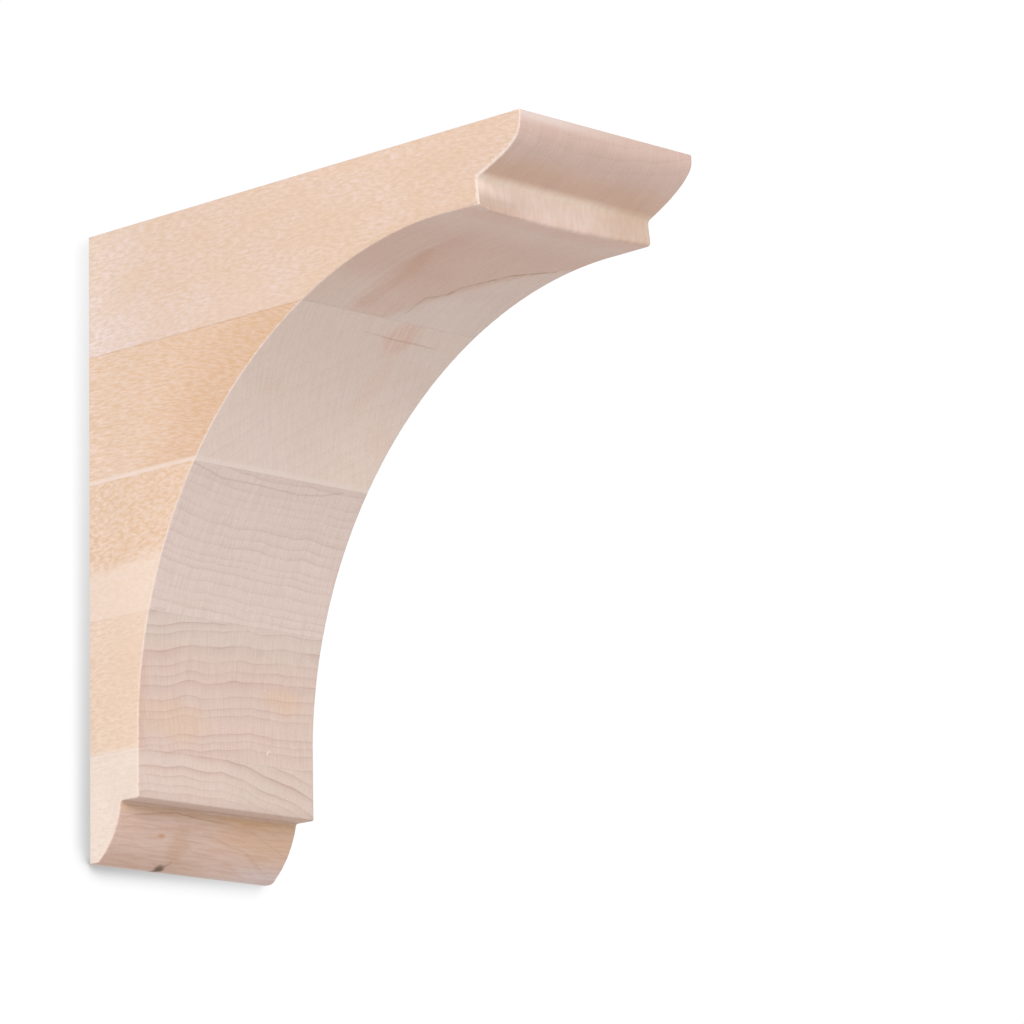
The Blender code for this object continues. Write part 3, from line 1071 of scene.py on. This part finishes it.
def top_outline(across):
    """The top board's outline: glue line, end of the hollow, soffit, nose, top and back."""
    throat = between(THROAT, across)
    cove_radius = between(COVE_RADIUS, across)
    cove_centre = throat + Vector((cove_radius, 0))
    cove = round_points(cove_centre, cove_radius, 180, 180 - THROAT_TURN, COVE_STEPS)
    lip = between(LIP, across)
    cove_handle = cove[-1] + between(COVE_HANDLE, across) * Vector(
        (math.sin(math.radians(THROAT_TURN)), math.cos(math.radians(THROAT_TURN)))
    )
    lip_handle = lip - Vector((0, between(LIP_HANDLE, across)))
    roll = interpolate_bezier(cove[-1], cove_handle, lip_handle, lip, ROLL_POINTS)
    top_corner = Vector((PROJECTION - LIP_ROUND, BLOCK_HEIGHT - LIP_ROUND))
    sag = FILLET_SAG * (1 - (2 * across / WIDTH) ** 2)
    beside_corner = max(0, 1 - (across + WIDTH / 2) / CORNER_LIFT_LENGTH)
    fillet_edge = between(FILLET_EDGE, across) + Vector((0, CORNER_LIFT * beside_corner ** 2 - sag))
    fillet_round = between(FILLET_ROUND, across)
    edge_centre = fillet_edge + Vector((-fillet_round, fillet_round))
    rounding = round_points(edge_centre, fillet_round, -90, 0, FILLET_STEPS)
    hollow_top = Vector((HOLLOW_OUT, HOLLOW_UP + HOLLOW_RADIUS))
    glue = UPPER_TOP + GLUE_LINE / 2
    return [
        Vector((0, glue)),
        *hollow_points(glue, hollow_top.y),
        *straight_points(hollow_top, rounding[0]),
        *rounding,
        *straight_points(rounding[-1], throat),
        *cove,
        *roll[1:],
        *round_points(top_corner, LIP_ROUND, 0, 90, LIP_STEPS),
        Vector((0, BLOCK_HEIGHT)),
    ]


def torn_wear(across, corner):
    """Arris wear on the top board: fibres have torn out along the left end of the moulding."""
    worn = plain_wear(across, corner)
    is_lip_corner = corner.y > BLOCK_HEIGHT - 2 * LIP_ROUND
    if is_lip_corner:
        return min(1, worn)
    is_out = corner.x > THROAT[0].x - BEHIND_THROAT
    is_high = corner.y > FILLET_EDGE[0].y + ABOVE_FILLET_EDGE
    if across > 0 or not (is_out and is_high):
        return worn
    here = Vector((corner.x, corner.y, 0)) / TEAR_LENGTH
    ragged = noise.noise(here) + noise.noise(FINE_TEAR * here)
    fade = min(1, max(0, (TEAR_TOP - corner.y) / TEAR_FADE))
    return worn + fade * max(0, TEAR_DEPTH + TEAR_RAGGED * ragged)


# Marks in this board, with their levels, sizes, tints and stains
ON_NOSE_OUT = (-0.1735, -0.1765)
PALE_CORNER_OUT = (-0.04, -0.004)
PALE_CORNER_TINT = (1.03, 1.08, 1.15)
PINK_FOOT_UP = (0.08, 0.066)
PINK_FOOT_OUT = (-0.115, -0.07)
PINK_FOOT_TINT = (1.02, 1.045, 1.105)
WARM_END_OUT = (-0.13, -0.175)
WARM_END_TINT = (0.97, 0.955, 0.945)
FILLET_UP = (0.0858, 0.0843)
FILLET_WARMTH_ACROSS = (0.005, 0.03)
STREAKS_SIZE = (0.0016, 0.03, 0.006)
STREAKS_RANGE = (0.35, 0.62)
STREAKS_TINT = (0.95, 0.91, 0.865)
# Painted highlight along the top of the fillet, just under the crease
FILLET_HIGHLIGHT_UP = (0.0805, 0.0832)
FILLET_HIGHLIGHT_TINT = (1.085, 1.1, 1.07)
LOW_FILLET_UP = (0.0815, 0.0775)
LOW_FILLET_TINT = (0.94, 0.935, 0.93)
LOW_LEFT_ACROSS = (-0.008, -0.028)
LOW_LEFT_TINT = (0.82, 0.78, 0.75)
ABOVE_FILLET_UP = (0.0843, 0.0858)
ABOVE_FILLET_TINT = (0.98, 0.955, 0.955)
# Painted shade in the crease between the roll and the fillet
CREASE_SHADE_UP = (0.0915, 0.0868)
CREASE_SHADE_TINT = (0.99, 0.943, 0.855)
ROLL_SHADE_SIZE = (0.005, 0.03, 0.01)
ROLL_SHADE_RANGE = (0.38, 0.62)
ROLL_SHADE_TINT = (0.975, 0.965, 0.96)
LIT_LIP_UP = (0.0972, 0.1006)
UNDER_FILLET_OUT = (-0.164, -0.172)
UNDER_FILLET_UP = (0.0772, 0.0758)
UNDER_FILLET_TINT = (1.01, 0.95, 0.94)
HEART_ACROSS = (-0.0215, -0.0165)
HEART_RANGE = (-0.088, -0.091)
HOLLOW_PART_OUT = (-0.164, -0.14)
HEART_TINT = (0.965, 0.92, 0.895)
BY_SEAM_UP = (0.071, 0.065)
BY_SEAM_TINT = (1.02, 1.06, 1.07)
BEYOND_RANGE = (-0.091, -0.086)
BEYOND_TINT = (1.03, 1.08, 1.105)
MINERAL_POINTS = [
    on_hollow(0.0032, 0.1031), on_hollow(0.0041, 0.1112), on_hollow(0.0099, 0.1152),
    on_hollow(0.0113, 0.1195), on_hollow(0.0175, 0.1264), on_hollow(0.0223, 0.1324),
    on_hollow(0.0326, 0.1399),
]
MINERAL_WIDTH = 0.0007
MINERAL_BREAKS_SIZE = (0.003, 0.003, 0.003)
BROWN_LEFT_ACROSS = (0.01, -0.015)
BROWN_LEFT_UP = (0.066, 0.071)
BROWN_LEFT_TINT = (0.965, 0.925, 0.9)
BROWN_BAND_POINTS = [on_hollow(-0.0148, 0.104), on_hollow(-0.0118, 0.12), on_hollow(-0.017, 0.134)]
BROWN_BAND_WIDTH = 0.004
BROWN_BAND_TINT = (0.97, 0.93, 0.9)
GREY_LINE_POINTS = [
    on_hollow(-0.0225, 0.106), on_hollow(-0.0205, 0.117), on_hollow(-0.0208, 0.13),
    on_hollow(-0.019, 0.14),
]
GREY_LINE_WIDTH = 0.0013
GREY_LINE_STRENGTH = 0.15
GREY_LINE_STAIN = (0.69, 0.565, 0.51)
FRINGE_SIZE = (0.003, 0.0009, 0.0009)
TORN_EDGE_RANGE = (-0.0356, -0.0361)
TORN_EDGE_ACROSS = (-0.03749, -0.03742)
TORN_UP = (0.098, 0.0925)
TORN_STRENGTH = 0.62
TORN_STAIN = (0.76, 0.655, 0.59)
FILLET_STRENGTH = 0.8
FILLET_LEFT_COLOUR = (0.805, 0.670, 0.600, 1)
FILLET_RIGHT_COLOUR = (0.692, 0.532, 0.432, 1)
LIP_STRENGTH = 0.55
LIP_FADE = (0.008, -0.022)
LIT_LIP_COLOUR = (0.790, 0.685, 0.645, 1)
HEART_SLANT = 0.87
MINERAL_COLOUR = (0.31, 0.21, 0.10, 1)
MINERAL_DEPTH = (0.30, 0.62, 0.002, 0.016)
MINERAL_BREAKS_DEPTH = (0.45, 1, 0.36, 0.60)
FRINGE_WIDTH = 0.0024

top_wood, tree, wood, position = bare_maple("top_board_maple", {
    "Side Colour": (0.698, 0.515, 0.399, 1),
    "Face Colour": (0.655, 0.487, 0.420, 1),
    "Cloud Colour": (0.715, 0.560, 0.500, 1),
    "Cloud Strength": 0.70,
    "Ring Colour": (0.46, 0.30, 0.24, 1),
    "Ring Strength": 0.26,
    "Ring Spacing": 0.0038,
    "Ring Wave": 0.0040,
    "Pith Across": -0.0100,
    "Pith Height": 0.3000,
    "Fleck Colour": (0.645, 0.465, 0.340, 1),
    "Fleck Strength": 1.0,
    "Fleck Size": (0.0015, 0.0034, 0.0008),
    "Grain Dip": 0.3,
    "Ray Strength": 0.14,
})
place = add_node(tree, "SeparateXYZ", {0: position}).outputs
front = wood["Front"]
on_nose = rising(tree, place["Y"], *ON_NOSE_OUT)
pale_corner = meeting(tree, wood["Side"], rising(tree, place["Y"], *PALE_CORNER_OUT))
colour = tinted(tree, wood["Colour"], pale_corner, PALE_CORNER_TINT)
pink_foot = meeting(
    tree, wood["Side"], rising(tree, place["Z"], *PINK_FOOT_UP), rising(tree, place["Y"], *PINK_FOOT_OUT)
)
colour = tinted(tree, colour, pink_foot, PINK_FOOT_TINT)
warm_end = meeting(tree, wood["Side"], rising(tree, place["Y"], *WARM_END_OUT))
colour = tinted(tree, colour, warm_end, WARM_END_TINT)
nose_face = meeting(tree, on_nose, front)
fillet = meeting(tree, nose_face, rising(tree, place["Z"], *FILLET_UP))
fillet_warmth = rising(tree, place["X"], *FILLET_WARMTH_ACROSS)
fillet_colour = blended(tree, fillet_warmth, FILLET_LEFT_COLOUR, FILLET_RIGHT_COLOUR)
colour = blended(tree, maths(tree, "MULTIPLY", fillet, FILLET_STRENGTH), colour, fillet_colour)
streaks = rising(tree, flecked(tree, position, STREAKS_SIZE, 3), *STREAKS_RANGE)
colour = tinted(tree, colour, meeting(tree, fillet, streaks), STREAKS_TINT)
# Painted highlight along the top of the fillet, just under the crease
fillet_top_highlight = meeting(tree, fillet, rising(tree, place["Z"], *FILLET_HIGHLIGHT_UP))
colour = tinted(tree, colour, fillet_top_highlight, FILLET_HIGHLIGHT_TINT)
low_fillet = meeting(tree, fillet, rising(tree, place["Z"], *LOW_FILLET_UP))
colour = tinted(tree, colour, low_fillet, LOW_FILLET_TINT)
low_left = meeting(tree, low_fillet, rising(tree, place["X"], *LOW_LEFT_ACROSS))
colour = tinted(tree, colour, low_left, LOW_LEFT_TINT)
above_fillet = meeting(tree, nose_face, rising(tree, place["Z"], *ABOVE_FILLET_UP))
colour = tinted(tree, colour, above_fillet, ABOVE_FILLET_TINT)
# Painted shade in the crease between the roll and the fillet
crease_shade = meeting(tree, above_fillet, rising(tree, place["Z"], *CREASE_SHADE_UP))
colour = tinted(tree, colour, crease_shade, CREASE_SHADE_TINT)
roll_shade = rising(tree, flecked(tree, position, ROLL_SHADE_SIZE, 2), *ROLL_SHADE_RANGE)
colour = tinted(tree, colour, meeting(tree, above_fillet, roll_shade), ROLL_SHADE_TINT)
lit_lip = meeting(tree, above_fillet, rising(tree, place["Z"], *LIT_LIP_UP))
lip_fade = graded(tree, place["X"], 0, LIP_STRENGTH, *LIP_FADE)
colour = blended(tree, meeting(tree, lit_lip, lip_fade), colour, LIT_LIP_COLOUR)
under_fillet = meeting(
    tree, front, rising(tree, place["Y"], *UNDER_FILLET_OUT), rising(tree, place["Z"], *UNDER_FILLET_UP)
)
colour = tinted(tree, colour, under_fillet, UNDER_FILLET_TINT)
across_and_out = maths(tree, "ADD", place["X"], maths(tree, "MULTIPLY", place["Y"], HEART_SLANT))
heart = meeting(
    tree, rising(tree, place["X"], *HEART_ACROSS), rising(tree, across_and_out, *HEART_RANGE)
)
hollow_part = meeting(tree, front, rising(tree, place["Y"], *HOLLOW_PART_OUT))
colour = tinted(tree, colour, meeting(tree, heart, hollow_part), HEART_TINT)
by_seam = meeting(tree, front, rising(tree, place["Z"], *BY_SEAM_UP))
colour = tinted(tree, colour, by_seam, BY_SEAM_TINT)
beyond = meeting(tree, hollow_part, rising(tree, across_and_out, *BEYOND_RANGE))
colour = tinted(tree, colour, beyond, BEYOND_TINT)
mineral = lined(tree, position, MINERAL_POINTS, MINERAL_WIDTH, waver=0.0012)
mineral_breaks = flecked(tree, position, MINERAL_BREAKS_SIZE, 2)
mineral = meeting(tree, mineral, graded(tree, mineral_breaks, *MINERAL_BREAKS_DEPTH))
mineral_depth = graded(tree, place["X"], *MINERAL_DEPTH)
brown_left = meeting(
    tree, hollow_part, rising(tree, place["X"], *BROWN_LEFT_ACROSS),
    rising(tree, place["Z"], *BROWN_LEFT_UP),
)
colour = tinted(tree, colour, brown_left, BROWN_LEFT_TINT)
brown_band = lined(tree, position, BROWN_BAND_POINTS, BROWN_BAND_WIDTH)
colour = tinted(tree, colour, meeting(tree, brown_band, front), BROWN_BAND_TINT)
grey_line = lined(tree, position, GREY_LINE_POINTS, GREY_LINE_WIDTH)
colour = stained(tree, colour, grey_line, GREY_LINE_STRENGTH, GREY_LINE_STAIN)
colour = blended(tree, meeting(tree, mineral, mineral_depth), colour, MINERAL_COLOUR)
fringe = flecked(tree, position, FRINGE_SIZE, 3)
ragged_place = maths(tree, "ADD", place["X"], maths(tree, "MULTIPLY", fringe, FRINGE_WIDTH))
torn_edge = meeting(
    tree, rising(tree, ragged_place, *TORN_EDGE_RANGE), rising(tree, place["X"], *TORN_EDGE_ACROSS)
)
torn = meeting(tree, torn_edge, on_nose, rising(tree, place["Z"], *TORN_UP))
colour = stained(tree, colour, torn, TORN_STRENGTH, TORN_STAIN)
nose_arris = graded(tree, on_nose, WORN_ARRIS_PULL, ARRIS_PULL)
sanded(tree, colour, wood, position, nose_arris)
top_board = swept_board(top_outline, [UPPER_TOP + GLUE_LINE / 2], NOSE_SPACING, torn_wear)
glued_in_place("top_board", top_board, top_wood)


# Studio. A white wall that the bracket stands off by a hair, a pale floor far below, and
# soft daylight from all round with one broad lamp in front, above and to the left.

WALL_GAP = 0.0010
WALL_REACH = 2.0
FLOOR_LEVEL = -0.75
CONTACT_REACH = 0.010
CONTACT_SHADE = (0.97, 0.45)
WALL_BRIGHTNESS = 1.02

# The bracket's soft shade, painted on the glowing wall from how near the bracket is: its strength at two
# places, then the places themselves
SHADE_DOWN_THE_WALL = (0.32, 1, 0.098, -0.080)
SHADE_FROM_THE_RIGHT = (0.48, 1, 0.045, -0.030)
SHADE_UNDER_THE_FOOT = (0.42, 0.68, -0.0990, -0.1040)
SHADE_TOP = (0.1045, 0.0970)

FLOOR_ROUGHNESS = 0.9
FLOOR_MOTTLE = (0.4, 0.4, 0.4)
FLOOR_COLOURS = ((0.80, 0.80, 0.79, 1), (0.84, 0.84, 0.83, 1))


def plain_sheet(name, corners, material):
    """A flat four-cornered backdrop."""
    mesh = bpy.data.meshes.new(name)
    mesh.from_pydata(corners, [], [(0, 1, 2, 3)])
    mesh.materials.append(material)
    sheet = bpy.data.objects.new(name, mesh)
    bpy.context.collection.objects.link(sheet)
    return sheet


wall_paint = bpy.data.materials.new("white_wall")
wall_paint.use_nodes = True
tree = wall_paint.node_tree
tree.nodes.remove(tree.nodes["Principled BSDF"])
nearness = add_node(tree, "AmbientOcclusion", {"Distance": CONTACT_REACH}, samples=16).outputs["AO"]
covered = rising(tree, nearness, *CONTACT_SHADE)
place = add_node(tree, "SeparateXYZ", {0: add_node(tree, "TexCoord").outputs["Object"]}).outputs
fall = graded(tree, place["Z"], *SHADE_DOWN_THE_WALL)
below_top = rising(tree, place["Z"], *SHADE_TOP)
from_right = graded(tree, place["X"], *SHADE_FROM_THE_RIGHT)
under_foot = graded(tree, place["Z"], *SHADE_UNDER_THE_FOOT)
depth = meeting(tree, fall, below_top, meeting(tree, from_right, under_foot))
brightness = maths(tree, "SUBTRACT", WALL_BRIGHTNESS, maths(tree, "MULTIPLY", covered, depth))
glow = add_node(tree, "Emission", {"Strength": brightness}).outputs[0]
unseen = add_node(tree, "BsdfTransparent").outputs[0]
behind = add_node(tree, "NewGeometry").outputs["Backfacing"]
shown = add_node(tree, "MixShader", {0: behind, 1: glow, 2: unseen}).outputs[0]
tree.links.new(shown, tree.nodes["Material Output"].inputs["Surface"])
wall = plain_sheet("studio_wall", [
    (-WALL_REACH, WALL_GAP, FLOOR_LEVEL),
    (WALL_REACH, WALL_GAP, FLOOR_LEVEL),
    (WALL_REACH, WALL_GAP, WALL_REACH),
    (-WALL_REACH, WALL_GAP, WALL_REACH),
], wall_paint)
wall.visible_diffuse = False
wall.visible_glossy = False
wall.visible_shadow = False

floor_paint = bpy.data.materials.new("pale_floor")
floor_paint.use_nodes = True
tree = floor_paint.node_tree
position = add_node(tree, "TexCoord").outputs["Object"]
paint = blended(tree, flecked(tree, position, FLOOR_MOTTLE, 2), *FLOOR_COLOURS)
tree.links.new(paint, tree.nodes["Principled BSDF"].inputs["Base Color"])
tree.nodes["Principled BSDF"].inputs["Roughness"].default_value = FLOOR_ROUGHNESS
plain_sheet("studio_floor", [
    (-WALL_REACH, -2 * WALL_REACH, FLOOR_LEVEL),
    (WALL_REACH, -2 * WALL_REACH, FLOOR_LEVEL),
    (WALL_REACH, WALL_REACH, FLOOR_LEVEL),
    (-WALL_REACH, WALL_REACH, FLOOR_LEVEL),
], floor_paint)

DAYLIGHT = 0.76
LAMP_PLACE = (-2.25, -1.875, 1.125)
LAMP_SIZE = 1.5
LAMP_POWER = 58.5

world = bpy.data.worlds.new("soft_daylight")
world.use_nodes = True
world.node_tree.nodes["Background"].inputs["Color"].default_value = (1, 1, 1, 1)
world.node_tree.nodes["Background"].inputs["Strength"].default_value = DAYLIGHT
bpy.context.scene.world = world
bpy.context.scene.view_settings.view_transform = "Standard"

lamp_data = bpy.data.lights.new("broad_lamp", "AREA")
lamp_data.size = LAMP_SIZE
lamp_data.energy = LAMP_POWER
lamp = bpy.data.objects.new("broad_lamp", lamp_data)
lamp.location = LAMP_PLACE
lamp.rotation_euler = (-Vector(LAMP_PLACE)).to_track_quat("-Z", "Y").to_euler()
bpy.context.collection.objects.link(lamp)


# Camera. It stands low in front and to the left of the bracket, looking up at the hollow.

CAMERA_PLACE = (-1.1389, -1.2710, -0.3547)
CAMERA_TURN = -45.488
CAMERA_TILT = 12.232
CAMERA_LEAN = 1.092
CAMERA_LENS = 190.2
SENSOR = 36

camera_data = bpy.data.cameras.new("camera")
camera_data.lens = CAMERA_LENS
camera_data.sensor_width = SENSOR
camera_data.clip_start = 0.01
camera = bpy.data.objects.new("camera", camera_data)
bpy.context.collection.objects.link(camera)
turned = Matrix.Rotation(math.radians(CAMERA_TURN), 4, "Z")
tilted = Matrix.Rotation(math.radians(CAMERA_TILT), 4, "X")
leant = Matrix.Rotation(math.radians(CAMERA_LEAN), 4, "Y")
level = Matrix.Rotation(math.radians(90), 4, "X")
camera.matrix_world = Matrix.Translation(CAMERA_PLACE) @ turned @ tilted @ leant @ level
bpy.context.scene.camera = camera
